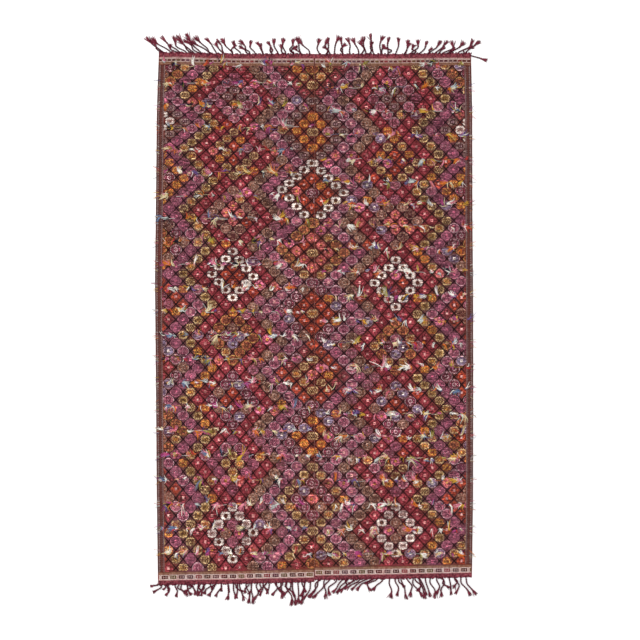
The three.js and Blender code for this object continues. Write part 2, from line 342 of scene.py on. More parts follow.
def joined(name, points, corners, yarn, yarns, shade=1.0):
    """One piece from many small closed ones: a yarn for each triangle, and for each point how much its colour
    is scaled, by its dye and any painted shade.
    """
    mesh = bpy.data.meshes.new(name)
    mesh.vertices.add(len(points))
    mesh.vertices.foreach_set("co", to_frame(points).ravel())
    mesh.loops.add(corners.size)
    mesh.loops.foreach_set("vertex_index", corners.ravel().astype(np.int32))
    mesh.polygons.add(len(corners))
    mesh.polygons.foreach_set("loop_start", np.arange(0, corners.size, 3, dtype=np.int32))
    mesh.polygons.foreach_set("material_index", np.asarray(yarn, np.int32))
    mesh.polygons.foreach_set("use_smooth", np.ones(len(corners), bool))
    for made in yarns:
        mesh.materials.append(made)
    mesh.update(calc_edges=True)
    dyed(mesh, shade)
    bake_map(mesh, len(yarns), np.repeat(yarn, 3))
    piece = bpy.data.objects.new(name, mesh)
    bpy.context.collection.objects.link(piece)
    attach(piece, "root")
    return piece


def in_field(side, x, y):
    """Whether points lie on the patterned field, inside the seam, the selvedge and the end bands."""
    out = SIDES[side] * x
    return (
        (out > GAP) & (out < edge_x(side, y) - SELVEDGE_WIDE)
        & (y < end_y(side, "top", x) - TOP_BAND) & (y > end_y(side, "bottom", x) + BOTTOM_BAND)
    )


outline_wool = wool("outline_wool", "#0a0608", "#1f1216")
on_panel = {side: [] for side in SIDES}
for side in SIDES:
    wraps = []
    for row in LATTICE_ROWS:
        for column in LATTICE_COLUMNS:
            if (column + row) % 2:
                continue
            for lean in (-1, 1):
                for wrap in range(WRAPS):
                    share = np.array([wrap - WRAP_OVERLAP, wrap + 1 + WRAP_OVERLAP]) / WRAPS
                    x = column_x(side, column + lean * share)
                    y = row_y(side, row + share, x)
                    wraps.append(np.column_stack([drawn_in(side, x, y), y]))
    wraps = np.array(wraps)
    out = SIDES[side] * wraps[:, :, 0]
    rim = edge_x(side, wraps[:, 0, 1]) - SELVEDGE_WIDE - LINE_CLEAR
    for a, b in ((0, 1), (1, 0)):
        for stop, past in ((LINE_CLEAR, out[:, a] < LINE_CLEAR), (rim, out[:, a] > rim)):
            kept = np.where(past, np.clip((stop - out[:, b]) / (out[:, a] - out[:, b]), 0, 1), 1)
            wraps[:, a] = wraps[:, b] + kept[:, None] * (wraps[:, a] - wraps[:, b])
    inside = in_field(side, wraps[:, :, 0], wraps[:, :, 1]).all(axis=1)
    inside &= np.linalg.norm(wraps[:, 1] - wraps[:, 0], axis=1) > SHORTEST_WRAP
    half = np.tile(LINE_HALF, len(wraps) // WRAPS)[inside]
    points, corners = floats(wraps[inside, 0], wraps[inside, 1], half, LINE_LOW, LINE_HIGH, LINE_SLOPE)
    lines = joined(f"lattice_{side}", points, corners, np.zeros(len(corners), int), [outline_wool])
    on_panel[side].append(lines)

# Medallions: brocaded in coloured wool, one in each diamond of the lattice, worked row by row as floats
# over the ground. Rings of like medallions lie round the middle of each large diamond, seam and edge.
MEDALLION_ROWS, MEDALLION_COLUMNS = range(-5, 63), range(-12, 13)
FLOAT_LOW, FLOAT_HIGH, FLOAT_WIDE, FLOATS_TO_ROW = GROUND - 0.5, CLOTH + 0.1, 4.15, 8.7
FLOAT_HALF, FLOAT_SLOPE, FLOAT_CLEAR, SHORTEST_FLOAT, LONGEST_FLOAT = 0.46, 1.5, 0.4, 2, 5
# How far rows and floats stray, and how unevenly medallions and floats take the dye
ROW_STRAY, FLOAT_STRAY, HEIGHT_STRAY = 0.8, 0.35, 0.4
DEPTH, DEPTH_STRAY, FLOAT_DEPTH = 1.06, 0.16, 1.25
# Each wool's deep and light shade, how far apart its stripes are, in mm, and how strong its specks, whose
# darker ones are a painted shade of the hollows between floats
YARNS = {
    "crimson": ("#601f29", "#9c444c", 0, 0.75), "pink": ("#c46a70", "#f4c0b6", 0, 0.15),
    "vermilion": ("#78211a", "#b04c33", 0, 0.65), "coral": ("#9c363e", "#d87e75", 0, 0.65),
    "rose": ("#94294b", "#e1839b", 0, 0.6), "gold": ("#8c6c44", "#d9bc8a", 0, 0.5),
    "ochre": ("#755422", "#b28e52", 0, 0.6), "bronze": ("#3c2012", "#6c482a", 0, 0.6),
    "orange": ("#a03a11", "#da8c46", 0, 0.6), "saffron": ("#b3731a", "#e6b85e", 0, 0.3),
    "rust": ("#763623", "#b66f4a", 0, 0.6), "mauve": ("#7c394d", "#bc7785", 5, 0.55),
    "plum": ("#602b41", "#9a5d6d", 5, 0.55), "wine": ("#401424", "#703244", 0, 0.5),
    "taupe": ("#7e5d50", "#c4a493", 5, 0.55), "umber": ("#5f3f35", "#96705f", 5, 0.55),
    "ivory": ("#cdbbb0", "#fdf5ec", 0, 0.15), "blush": ("#a88e88", "#e6d2ca", 0, 0.3),
    "ash": ("#6e5653", "#a88e87", 5, 0.5), "charcoal": ("#150c0c", "#3c2e32", 0, 0.5),
    "lilac": ("#8c6872", "#d6b2b6", 5, 0.45), "violet": ("#4f4258", "#8d8098", 0, 0.5),
}
yarns = {
    name: wool(f"{name}_wool", deep, light, stripe=stripe, specks_and_hollow_shade=specks_and_hollow_shade)
    for name, (deep, light, stripe, specks_and_hollow_shade) in YARNS.items()
}


def mirrored(upper, middle=()):
    """A whole chart from its upper half and the line in its middle, if it has one."""
    return upper + middle + upper[::-1]


# Charts, a letter a float: o ring, f filling, c centre, a dot the bare ground
DAISY = mirrored((
    "..o.oo.oo.o..",
    ".ooooooooooo.",
    "oooofffffoooo",
    ".ooffcfcffoo.",
), ("ooofccfccfooo",))
ASTER = mirrored((
    "..o.oo.oo.o..",
    ".ooooooooooo.",
    "ooooofffooooo",
    ".oooffcffooo.",
), ("oooofcfcfoooo",))
ROSETTE = mirrored((
    "...o.oo.o...",
    ".oooooooooo.",
    ".oofoffofoo.",
    "ooffcffcffoo",
    ".ofcfccfcfo.",
))
BEAD = mirrored((
    "....ooooo....",
    "..oofffffoo..",
    ".offfffffffo.",
    "offfffffffffo",
    "offffcccffffo",
), ("offffcocffffo",))
BARS = mirrored((
    "....ooooo....",
    "..oofffffoo..",
    ".offcfffcffo.",
    "offfcfcfcfffo",
    "offfcfcfcfffo",
), ("offffcocffffo",))
BEADS = mirrored((
    "...o.ooo.o...",
    "..ofofofofo..",
    ".offfffffffo.",
    "offffoooffffo",
    "ofcfoofoofcfo",
), ("offfofcfofffo",))
POPPY = (
    "....fff....",
    "..fffffff..",
    ".ofoffffof.",
    ".fffffffff.",
    "fffffcfffff",
    "offfcccfffo",
    "fffffcfffff",
    ".fffffffff.",
    ".foffffofo.",
    "..fffffff..",
    "....fff....",
)
EYE = mirrored((
    "......f......",
    ".....fff.....",
    "....fffff....",
    "...fffffff...",
    "..fffffffff..",
    ".ffffcccffff.",
), ("fffffcocfffff",))
MOTIFS = {
    "red": (EYE, {"f": "crimson", "c": "pink", "o": "ivory"}),
    "wine": (EYE, {"f": "crimson", "c": "pink", "o": "crimson"}),
    "fire": (EYE, {"f": "vermilion", "c": "pink", "o": "ivory"}),
    "coral": (POPPY, {"f": "coral", "c": "saffron", "o": "rose"}),
    "blossom": (BEAD, {"f": "rose", "c": "saffron", "o": "mauve"}),
    "white": (ASTER, {"o": "ivory", "f": "bronze", "c": "charcoal"}),
    "pearl": (ROSETTE, {"o": "ivory", "f": "blush", "c": "umber"}),
    "gold": (ROSETTE, {"o": "gold", "f": "bronze", "c": "gold"}),
    "straw": (ROSETTE, {"o": "gold", "f": "rust", "c": "saffron"}),
    "honey": (ROSETTE, {"o": "gold", "f": "ochre", "c": "bronze"}),
    "amber": (ROSETTE, {"o": "orange", "f": "saffron", "c": "vermilion"}),
    "mauve": (BARS, {"o": "lilac", "f": "mauve", "c": "wine"}),
    "heather": (BEAD, {"o": "lilac", "f": "mauve", "c": "pink"}),
    "plum": (BEAD, {"o": "mauve", "f": "plum", "c": "rose"}),
    "dusk": (BEADS, {"o": "mauve", "f": "plum", "c": "lilac"}),
    "taupe": (BARS, {"o": "taupe", "f": "umber", "c": "charcoal"}),
    "stone": (BEADS, {"o": "taupe", "f": "umber", "c": "rust"}),
    "lilac": (BEADS, {"o": "lilac", "f": "wine", "c": "rose"}),
    "iris": (BEAD, {"o": "lilac", "f": "violet", "c": "ivory"}),
    "smoke": (DAISY, {"o": "ash", "f": "charcoal", "c": "lilac"}),
    "rust": (BARS, {"o": "ochre", "f": "rust", "c": "bronze"}),
}
# The weaver changes yarn from one medallion to the next: what stands in now and then
CHANGES = {
    "red": ("red", "red", "wine"), "fire": ("fire", "fire", "fire", "red"),
    "pearl": ("pearl", "pearl", "white"), "rust": ("rust", "rust", "straw"),
    "gold": ("gold", "gold", "straw", "straw", "honey", "honey", "amber"),
    "mauve": ("mauve", "mauve", "heather", "plum"), "plum": ("plum", "plum", "dusk", "mauve"),
    "taupe": ("taupe", "stone", "stone", "dusk"), "lilac": ("lilac", "lilac", "stone", "iris"),
}
# Along the rows of tufts some medallions are worked in the tufts' own bright wool
BRIGHT = ("amber", "coral", "blossom", "iris", "heather", "straw", "fire")
BRIGHT_SHARE, BRIGHT_NEAR, NEVER_BRIGHT = 0.34, 22, ("white", "pearl")
# The rows of tufts, a little further apart down the rug, and how much lower they lie on the right panel
TUFT_ROWS, TUFT_TOP, TUFT_PITCH, TUFT_WIDEN = 21, 1136, 106.7, 0.32
RIGHT_ROWS = {"row": (0, 3, 7.5, 10, 14, 17, 20), "down": (22, 48, 32, 41, 36, 3, 1)}
# The daisies, asters and rosettes are worked a little smaller than the other charts
SMALL_CHARTS, SMALLER = (DAISY, ASTER, ROSETTE), 0.92
# Each large diamond's two inner rings, down the rug
CORES = {
    "one": ("smoke", "fire", "coral", "fire", "lilac", "fire", "gold", "taupe"),
    "three": ("mauve", "gold", "taupe", "white", "rust", "lilac", "plum", "pearl"),
}
# The rings that run on past the diamonds, on the selvedge's side and on the seam's side
ZIGZAG = {"outer": {5: "red", 7: "gold", 9: "plum"}, "inner": {5: "red", 7: "taupe", 9: "mauve"}}
# Clusters between the diamonds, down the rug, the first above them all
CLUSTERS = {
    "inner": {
        11: ("red", "smoke", "white", "rust", "lilac", "fire", "lilac", "gold", "gold"),
        13: ("gold", "amber", "fire", "coral", "fire", "gold", "amber", "lilac", "red"),
        15: ("rust", "gold", "lilac", "gold", "straw", "coral", "gold", "coral", "rust"),
    },
    "outer": {
        11: ("rust", "smoke", "amber", "lilac", "fire", "lilac", "rust", "fire", "gold"),
        13: ("lilac", "pearl", "lilac", "rust", "taupe", "fire", "lilac", "taupe", "fire"),
    },
}


def tuft_row(side, row):
    """How far along the rug a row of tufts lies, lower on the right panel, which was woven apart."""
    down = np.interp(row, RIGHT_ROWS["row"], RIGHT_ROWS["down"]) if side == "right" else 0
    return TUFT_TOP - row * (TUFT_PITCH + TUFT_WIDEN * row) - down


def motif_at(side, column, row):
    """The motif of one place in the lattice, from its ring and which diamond or cluster it belongs to."""
    near = round(row / ROWS_TO_DIAMOND)
    ring = abs(column) + abs(row - near * ROWS_TO_DIAMOND)
    part = "inner" if column * SIDES[side] < 0 else "outer"
    if ring <= 3:
        return CORES["one" if ring == 1 else "three"][min(max(near, 0), 7)]
    if ring <= 9:
        return ZIGZAG[part][ring]
    cluster = CLUSTERS[part][min(ring, max(CLUSTERS[part]))]
    return cluster[min(row // ROWS_TO_DIAMOND + 1, len(cluster) - 1)]


FAMILIES = {
    "reds": ("crimson", "pink", "vermilion", "coral", "rose"),
    "golds": ("gold", "ochre", "bronze", "orange", "saffron", "rust"),
    "plums": ("mauve", "plum", "wine", "taupe", "umber"),
    "pales": ("ivory", "blush", "ash", "charcoal", "lilac", "violet"),
}


def runs(letters, longest):
    """The floats of one line of a chart: where each begins and stops, and its letter."""
    begin = 0
    for stop in range(1, len(letters) + 1):
        if stop < len(letters) and letters[stop] == letters[begin] and stop - begin < longest:
            continue
        yield begin, stop, letters[begin]
        begin = stop


for side in SIDES:
    worked = {name: [] for name in YARNS}
    chance = np.random.RandomState(7 + SIDES[side])
    for row in MEDALLION_ROWS:
        for column in MEDALLION_COLUMNS:
            if (column + row) % 2 == 0:
                continue
            x = column_x(side, column)
            y = row_y(side, row, x) + chance.normal(0, ROW_STRAY)
            motif = motif_at(side, column, row)
            # The two halves of a medallion on the seam match
            if abs(column) < COLUMNS_TO_SEAM:
                motif = chance.choice(CHANGES.get(motif, (motif,)))
                by_tufts = np.abs(y - tuft_row(side, np.arange(TUFT_ROWS))).min() < BRIGHT_NEAR
                if by_tufts and motif not in NEVER_BRIGHT and chance.rand() < BRIGHT_SHARE:
                    motif = chance.choice(BRIGHT)
            chart, dyes = MOTIFS[motif]
            tall = (row_y(side, row - 0.5, x) - row_y(side, row + 0.5, x)) / FLOATS_TO_ROW
            x = drawn_in(side, x, y)
            wide = FLOAT_WIDE
            if chart in SMALL_CHARTS:
                wide, tall = SMALLER * wide, SMALLER * tall
            depth = chance.normal(DEPTH, DEPTH_STRAY) * lighter_down_rug(y)
            for line, letters in enumerate(chart):
                at = y + tall * (len(chart) / 2 - 0.5 - line)
                for begin, stop, letter in runs(letters, LONGEST_FLOAT):
                    if letter in dyes:
                        left, right = (x + wide * (place - len(letters) / 2) for place in (begin, stop))
                        worked[dyes[letter]].append((left, right, at, tall, depth))
    for family, names in FAMILIES.items():
        made, number = [], []
        for name in names:
            left, right, at, tall, depth = np.array(worked[name]).T
            rim = edge_x(side, at) - SELVEDGE_WIDE
            ends = np.sort(np.stack([SIDES[side] * left, SIDES[side] * right]), axis=0)
            ends = np.stack([np.maximum(ends[0], FLOAT_CLEAR), np.minimum(ends[1], rim)])
            kept = (ends[1] - ends[0] > SHORTEST_FLOAT) & in_field(side, SIDES[side] * ends.mean(axis=0), at)
            at, tall, depth = at[kept], tall[kept], depth[kept]
            ends = np.sort(SIDES[side] * ends[:, kept], axis=0)
            stir = chance.normal(0, FLOAT_STRAY, (4, len(at)))
            made.append((
                np.column_stack([ends[0] + stir[0], at]), np.column_stack([ends[1] + stir[1], at]),
                FLOAT_HALF * tall, FLOAT_HIGH + HEIGHT_STRAY * stir[2], depth + FLOAT_DEPTH * stir[3],
            ))
            number.append(np.full(FLOAT_FACES * len(at), len(number)))
        start, end, half, high, depth = (np.concatenate(part) for part in zip(*made))
        points, corners = floats(start, end, half, FLOAT_LOW, high, FLOAT_SLOPE)
        on_panel[side].append(joined(
            f"medallions_{family}_{side}", points, corners, np.concatenate(number), [yarns[n] for n in names],
            np.repeat(depth, FLOAT_POINTS),
        ))

# Selvedges: the outer edge of each panel, warp stripes of dark brown and lilac wool with whitish running
# stitches along them, woven in one with the panel. They stop at the bands that cross each end.
STRIPES = {
    "from_edge": (2.5, 8, 13.5, 19, 24.5, 30),
    "yarn": ("edge_brown", "edge_lilac", "edge_brown", "edge_tan", "edge_brown", "edge_lilac"),
}
STRIPE_STEPS, STRIPE_HALF, STRIPE_HIGH, STRIPE_OVERLAP, UNDER_BAND = 60, 2.6, CLOTH - 0.2, 1.5, 2
STITCH_LINES, STITCH_LONG, STITCH_PITCH, STITCH_IN = (10.8, 24.5), 4, 11, 4
STITCH_HALF, STITCH_HIGH = 1.3, CLOTH + 0.4
EDGE_YARNS = {
    "edge_brown": ("#37221f", "#553836"), "edge_lilac": ("#64504f", "#8c7a77"),
    "edge_tan": ("#472b27", "#66423b"), "stitch": ("#94807a", "#c0ada6"),
}
edge_yarns = [wool(f"{name}_wool", *shades) for name, shades in EDGE_YARNS.items()]
names = list(EDGE_YARNS)
for side in SIDES:
    start, end, half, high, number = [], [], [], [], []
    low = end_y(side, "bottom", LOOM_WIDTH) + BOTTOM_BAND - UNDER_BAND
    top = end_y(side, "top", LOOM_WIDTH) - TOP_BAND - UNDER_BAND
    for inset, yarn in zip(STRIPES["from_edge"], STRIPES["yarn"]):
        y = np.linspace(low, top, STRIPE_STEPS + 1)
        line = np.column_stack([SIDES[side] * (edge_x(side, y) - inset), y])
        start.append(line[:-1] - (0, STRIPE_OVERLAP))
        end.append(line[1:] + (0, STRIPE_OVERLAP))
        half += [STRIPE_HALF] * STRIPE_STEPS
        high += [STRIPE_HIGH] * STRIPE_STEPS
        number += [names.index(yarn)] * STRIPE_STEPS
    for inset in STITCH_LINES:
        y = np.arange(low + STITCH_IN, top - STITCH_IN, STITCH_PITCH)
        line = np.column_stack([SIDES[side] * (edge_x(side, y) - inset), y])
        start.append(line)
        end.append(line + (0, STITCH_LONG))
        half += [STITCH_HALF] * len(y)
        high += [STITCH_HIGH] * len(y)
        number += [names.index("stitch")] * len(y)
    points, corners = floats(np.concatenate(start), np.concatenate(end), half, FLOAT_LOW, high, FLOAT_SLOPE)
    number = np.repeat(number, FLOAT_FACES)
    on_panel[side].append(joined(f"selvedge_{side}", points, corners, number, edge_yarns))

# End bands: at each end of a panel, cream brocade with a row of small boxed motifs between plain lines,
# worked in the same way as the medallions.
BOX = mirrored((
    "ooooooooooooo",
    "oocccccccccoo",
    "ooccocccoccoo",
), ("ooccocococcoo",))
SMALL_BOX = mirrored((
    "ooooooo",
    "occ.cco",
), ("o.ccc.o",))
BAND_ROWS = {
    "top": ("rosy", "buff", SMALL_BOX, "tan", "umber", "tan", "umber"),
    "bottom": ("blush", BOX, "tan", "tan", "tan", "umber"),
}
ROW_TALL, BOX_STEP, PLAIN_LONG = 3.35, 3.15, 38
BAND_IN, BAND_FROM_SEAM, BAND_FROM_RIM = 0.5, 2.5, 3
BAR_HALF, BAR_STRAY, BAR_SLOPE, SHORTEST_BAR = 0.47, 0.1, 1.6, 1
# The boxes' frames, and the dyes inside them, taken in an uneven turn that differs from panel to panel
BOX_FRAME = {"top": "buff", "bottom": "cream"}
BOX_DYES, BOX_TURN, BOX_BEGIN = ("brown", "brown", "red", "moss", "grey", "brown"), 0.381, 0.13
BAND_YARNS = {
    "cream": ("#dabab0", "#fff2ea"), "buff": ("#b4948a", "#e0ccc2"),
    "blush": ("#cc9492", "#f0c2bc"), "rosy": ("#b07876", "#d4a29c"),
    "tan": ("#86604c", "#b48e76"), "umber": ("#64402f", "#8a624c"),
    "brown": ("#2c1a1a", "#4c302c"), "red": ("#7c2a32", "#a34a48"),
    "moss": ("#55532f", "#7a7346"), "grey": ("#4c3e42", "#6e6062"),
}
band_yarns = [wool(f"band_{name}_wool", *shades) for name, shades in BAND_YARNS.items()]
names = list(BAND_YARNS)
for side in SIDES:
    for end, plan in BAND_ROWS.items():
        chance = np.random.RandomState(len(side) + 3 * len(end))
        bars, number = [], []
        inward = -1 if end == "top" else 1
        rim = edge_x(side, end_y(side, end, LOOM_WIDTH)) - BAND_FROM_RIM
        depth = BAND_IN
        for part in plan:
            boxed = isinstance(part, tuple)
            for line in part if boxed else (part,):
                away = depth + ROW_TALL / 2
                depth += ROW_TALL
                long = len(line) * BOX_STEP if boxed else PLAIN_LONG
                for n in range(int(LOOM_WIDTH // long) + 1):
                    turn = (n * BOX_TURN + BOX_BEGIN * len(side)) % 1
                    dyes = {"o": BOX_FRAME[end], "c": BOX_DYES[int(len(BOX_DYES) * turn)]}
                    spans = [(0, long, part)]
                    if boxed:
                        spans = [
                            (begin * BOX_STEP, stop * BOX_STEP, dyes[letter])
                            for begin, stop, letter in runs(line, len(line)) if letter in dyes
                        ]
                    for a, b, dye in spans:
                        a = BAND_FROM_SEAM + n * long + a
                        b = min(BAND_FROM_SEAM + n * long + b, rim)
                        if b - a > SHORTEST_BAR:
                            y = end_y(side, end, (a + b) / 2) + inward * away
                            bars.append((SIDES[side] * a, SIDES[side] * b, y))
                            number.append(names.index(dye))
        bars = np.array(bars)
        bars[:, :2].sort(axis=1)
        high = FLOAT_HIGH + chance.normal(0, BAR_STRAY, len(bars))
        points, corners = floats(
            bars[:, [0, 2]], bars[:, [1, 2]], BAR_HALF * ROW_TALL, FLOAT_LOW, high, BAR_SLOPE
        )
        number = np.repeat(number, FLOAT_FACES)
        on_panel[side].append(joined(f"band_{end}_{side}", points, corners, number, band_yarns))

# Centre seam: the two panels are sewn edge to edge with dark wool thread, in ladder stitches that cross
# the join and hold in the weave on both sides of it.
SEAM_PITCH, SEAM_INSET, SEAM_REACH, SEAM_LEAN = 17, 6, 4, 1.2
SEAM_HALF, SEAM_LOW, SEAM_SLOPE = 1.1, GROUND - 0.4, 1.6
seam_wool = wool("seam_wool", "#3e2324", "#5e3a38")
y = np.arange(end_y("right", "bottom", 0) + SEAM_INSET, end_y("right", "top", 0) - SEAM_INSET, SEAM_PITCH)
lean = np.where(np.arange(len(y)) % 2, SEAM_LEAN, -SEAM_LEAN)
start, end = (np.column_stack([np.full(len(y), way * SEAM_REACH), y + way * lean]) for way in (-1, 1))
points, corners = floats(start, end, SEAM_HALF, SEAM_LOW, CLOTH, SEAM_SLOPE)
seam = joined("seam_stitches", points, corners, np.zeros(len(corners), int), [seam_wool])
on_panel["left"].append(seam)

# Tufts: loose locks of thick, soft yarn knotted into the face in rows, each a few ends that fan out and
# curl over the cloth. The largest stand where the panel's own locks do, with finer ones between them.
LARGE_ACROSS, TUFT_LENGTH, TUFT_LONGER, TUFT_TURN, TUFT_BEND, TUFT_MARGIN = 4, 32, 22, 0.5, 12, 78
FINE_ACROSS, FINE_MARGIN, FINE_LENGTH, FINE_STRAY, FINE_TURN, FINE_BEND = (10, 14), 20, (16, 34), 4, 0.4, 12
# A few tufts lie just below the upper end
TOP_TUFTS, TOP_LENGTH, TOP_IN, TOP_TURN, TOP_BEND = 16, 26, (18, 44), 0.6, 14
LARGE_ENDS, FINE_ENDS, TOP_ENDS, TUFT_HALF, LARGE_THICK, FINE_THICK = 16, (6, 11), 8, 7, 1.5, 1.35
# A single end of yarn, step by step: how far along, how high, its least height and how thick
t = np.array([0, 0.12, 0.4, 0.72, 1])
RISES, LEAST_RISE = np.array([-1.5, 1.9, 4.6, 3.8, 1.2]), (-1.5, 0.6, 0.9, 0.9, 0.7)
LOCK_ROUND, HAIR_ROUND = np.array([0.9, 1, 1.15, 1.05, 0.45]), np.array([0.9, 1, 1, 0.9, 0.4])
# Yarns laid along each row between its tufts, and hairs that stick out over the selvedge
LAID_YARNS, LAID_LENGTH, LAID_ROUND, LAID_DEPTH = 5, (25, 60), 0.9, 0.85
EDGE_HAIRS, HAIR_LENGTH, HAIR_ROOT, HAIR_HIGH, HAIR_LOW = 7, (14, 40), 14, 3.4, 1.2
UPPER_ROWS = 350
# Each wool's deep and light shade, and how often it's used in the upper rows and in the lower ones
TUFT_YARNS = {
    "ivory": ("#cfc4ba", "#fdf9f2", 15, 24), "pearl": ("#a3a9a6", "#d6d9d4", 6, 8),
    "cream": ("#c9b184", "#ead9b2", 12, 10), "saffron": ("#b98624", "#dcae4e", 12, 9),
    "orange": ("#bb5a1e", "#e0853f", 13, 11), "olive": ("#857630", "#b2a355", 7, 5),
    "rose": ("#bd5f74", "#e698a4", 8, 14), "magenta": ("#912f60", "#b9558a", 6, 10),
    "slate": ("#47587a", "#8292ac", 5, 5), "violet": ("#503a6c", "#7d6296", 6, 6),
    "scarlet": ("#9c2a2a", "#c84c44", 8, 8), "black": ("#141217", "#2b2730", 12, 6),
}


def scatter(n):
    """An even, repeatable scatter between 0 and 1, as in the part's own solids."""
    s = math.sin(n * 12.9898) * 43758.5453
    return s - math.floor(s)


def tubes(paths, radii, sides, flatten=1.0):
    """Closed yarns along paths of (yarn, step, xyz), with a radius at each step."""
    count, steps = paths.shape[:2]
    run = np.gradient(paths, axis=1)
    run /= np.linalg.norm(run, axis=2, keepdims=True)
    flank = np.cross((0.0, 0.0, 1.0), run)
    flank /= np.maximum(np.linalg.norm(flank, axis=2, keepdims=True), 1e-6)
    lift = np.cross(run, flank)
    turn = 2 * np.pi * (np.arange(sides) + 0.5) / sides + np.pi / 2
    rim = np.cos(turn)[:, None] * flank[:, :, None] + flatten * np.sin(turn)[:, None] * lift[:, :, None]
    points = paths[:, :, None] + np.broadcast_to(radii, (count, steps))[:, :, None, None] * rim
    k = np.arange(sides)
    a = (np.arange(steps - 1) * sides)[:, None] + k
    b = (np.arange(steps - 1) * sides)[:, None] + (k + 1) % sides
    skin = [np.stack(three, -1).reshape(-1, 3) for three in ((a, b, b + sides), (a, b + sides, a + sides))]
    last = (steps - 1) * sides
    caps = [(0, j + 1, j) for j in range(1, sides - 1)]
    caps += [(last, last + j, last + j + 1) for j in range(1, sides - 1)]
    one = np.concatenate([*skin, caps])
    corners = one + (np.arange(count) * steps * sides)[:, None, None]
    return points.reshape(-1, 3), corners.reshape(-1, 3), len(one)


tuft_yarns = [
    wool(f"tuft_{name}_wool", deep, light, blotch=8) for name, (deep, light, *_) in TUFT_YARNS.items()
]
share = np.array([parts for _, _, *parts in TUFT_YARNS.values()], float)
share /= share.sum(axis=0)
for side in SIDES:
    chance = np.random.RandomState(31 + SIDES[side])
    tufts = []
    for row in range(TUFT_ROWS):
        y = tuft_row(side, row)
        towards = 0 if scatter(row + 0.25 * SIDES[side]) < 0.5 else math.pi
        for place in range(LARGE_ACROSS):
            seed = 100 * row + 10 * place + (1 if side == "left" else 2)
            along = (place + 0.25 + 0.5 * scatter(seed)) / LARGE_ACROSS
            bearing = towards + TUFT_TURN * (2 * scatter(seed + 0.5) - 1)
            length = TUFT_LENGTH + TUFT_LONGER * scatter(seed + 0.7)
            bend = TUFT_BEND * (2 * scatter(seed + 0.9) - 1)
            x = TUFT_MARGIN + along * (LOOM_WIDTH - TUFT_MARGIN)
            tufts.append((x, y, bearing, length, bend, LARGE_ENDS))
        fine = FINE_ACROSS[int(y < UPPER_ROWS)]
        for place in range(fine):
            x = FINE_MARGIN + (place + chance.uniform(0.1, 0.9)) / fine * (LOOM_WIDTH - 2 * FINE_MARGIN)
            bearing = chance.choice([0, math.pi]) + chance.normal(0, FINE_TURN)
            tufts.append((
                x, y + chance.normal(0, FINE_STRAY), bearing, chance.uniform(*FINE_LENGTH),
                chance.normal(0, FINE_BEND), chance.randint(*FINE_ENDS),
            ))
    for x in chance.uniform(FINE_MARGIN, LOOM_WIDTH - 2 * FINE_MARGIN, TOP_TUFTS):
        y = end_y(side, "top", x) - chance.uniform(*TOP_IN)
        bearing = chance.choice([0, math.pi]) + chance.normal(0, TOP_TURN)
        tufts.append((x, y, bearing, TOP_LENGTH, chance.normal(0, TOP_BEND), TOP_ENDS))
    paths, radii, number, depth = [], [], [], []
    for x, y, bearing, length, bend, ends in tufts:
        dyes = chance.choice(len(share), 3, p=share[:, int(y < UPPER_ROWS)])
        curl, parting = chance.normal(0, 12), chance.uniform(-0.4, 0.9)
        half, thick = (TUFT_HALF, LARGE_THICK) if ends == LARGE_ENDS else (0.7 * TUFT_HALF, FINE_THICK)
        for strand in range(ends):
            stray = strand % 4 == 3
            off = chance.uniform(-1, 1)
            way = bearing + chance.normal(0, 0.8 if stray else 0.14)
            reach = chance.uniform(0.35, 0.6) if stray else (1 - 0.3 * abs(off)) * chance.uniform(0.6, 1.03)
            far = t * length * reach
            aside = off * half * np.sin(math.pi * t**0.75) + t**2 * (bend + chance.normal(0, 5))
            aside += (curl + chance.normal(0, 5)) * t**4 + 1.5 * np.sin(6 * t + chance.uniform(0, 6)) * t
            rise = RISES * (1 - 0.5 * off * off) + chance.normal(0, 0.6)
            px = SIDES[side] * x + chance.normal(0, 1.5) + far * math.cos(way) - aside * math.sin(way)
            py = y + chance.normal(0, 1.5) + far * math.sin(way) + aside * math.cos(way)
            paths.append(np.column_stack([px, py, CLOTH + np.maximum(rise, LEAST_RISE)]))
            radii.append(thick * chance.uniform(0.85, 1.25) * LOCK_ROUND)
            number.append(dyes[2 if stray else int(off > parting)])
            depth.append(chance.normal(1, 0.12) * lighter_down_rug(y))
    for row in range(TUFT_ROWS):
        y = tuft_row(side, row)
        used = share[:, int(y < UPPER_ROWS)]
        for at in chance.uniform(30, LOOM_WIDTH - 90, LAID_YARNS):
            px = SIDES[side] * (at + t * chance.uniform(*LAID_LENGTH))
            bow = chance.normal(0, 9) * t * (1 - t) + chance.normal(0, 3) * t
            paths.append(np.column_stack([px, y + chance.normal(0, 2) + bow, np.full(len(t), CLOTH + 0.7)]))
            radii.append(np.full(len(t), LAID_ROUND))
            number.append(chance.choice(len(share), p=used))
            depth.append(LAID_DEPTH)
        for _ in range(EDGE_HAIRS):
            at = y + chance.normal(0, 14)
            far = t * chance.uniform(*HAIR_LENGTH)
            lean = chance.normal(0, 0.35)
            px = edge_x(side, at) - HAIR_ROOT + far
            py = at + lean * far + chance.normal(0, 5) * t**2
            falling = np.linspace(HAIR_HIGH, HAIR_LOW, len(t))
            pz = np.where(px < edge_x(side, at), CLOTH + HAIR_LOW, falling)
            paths.append(np.column_stack([SIDES[side] * px, py, pz]))
            radii.append(chance.uniform(0.5, 0.9) * HAIR_ROUND)
            number.append(chance.choice(len(share), p=used))
            depth.append(chance.normal(0.9, 0.1))
    points, corners, each = tubes(np.array(paths), np.array(radii), 3)
    on_panel[side].append(joined(
        f"tufts_{side}", points, corners, np.repeat(number, each), tuft_yarns,
        np.repeat(depth, len(points) // len(paths)),
    ))

for side in SIDES:
    long, area = PANEL_FLAT[side]

# Skirts: at each end the panel runs on as a narrow strip of plain crimson weave, where the warps are gathered
# for the fringe.
SKIRT_CLOTH, SKIRT_DEPTH, SKIRT_STEPS = 2.6, 20, (60, 4)
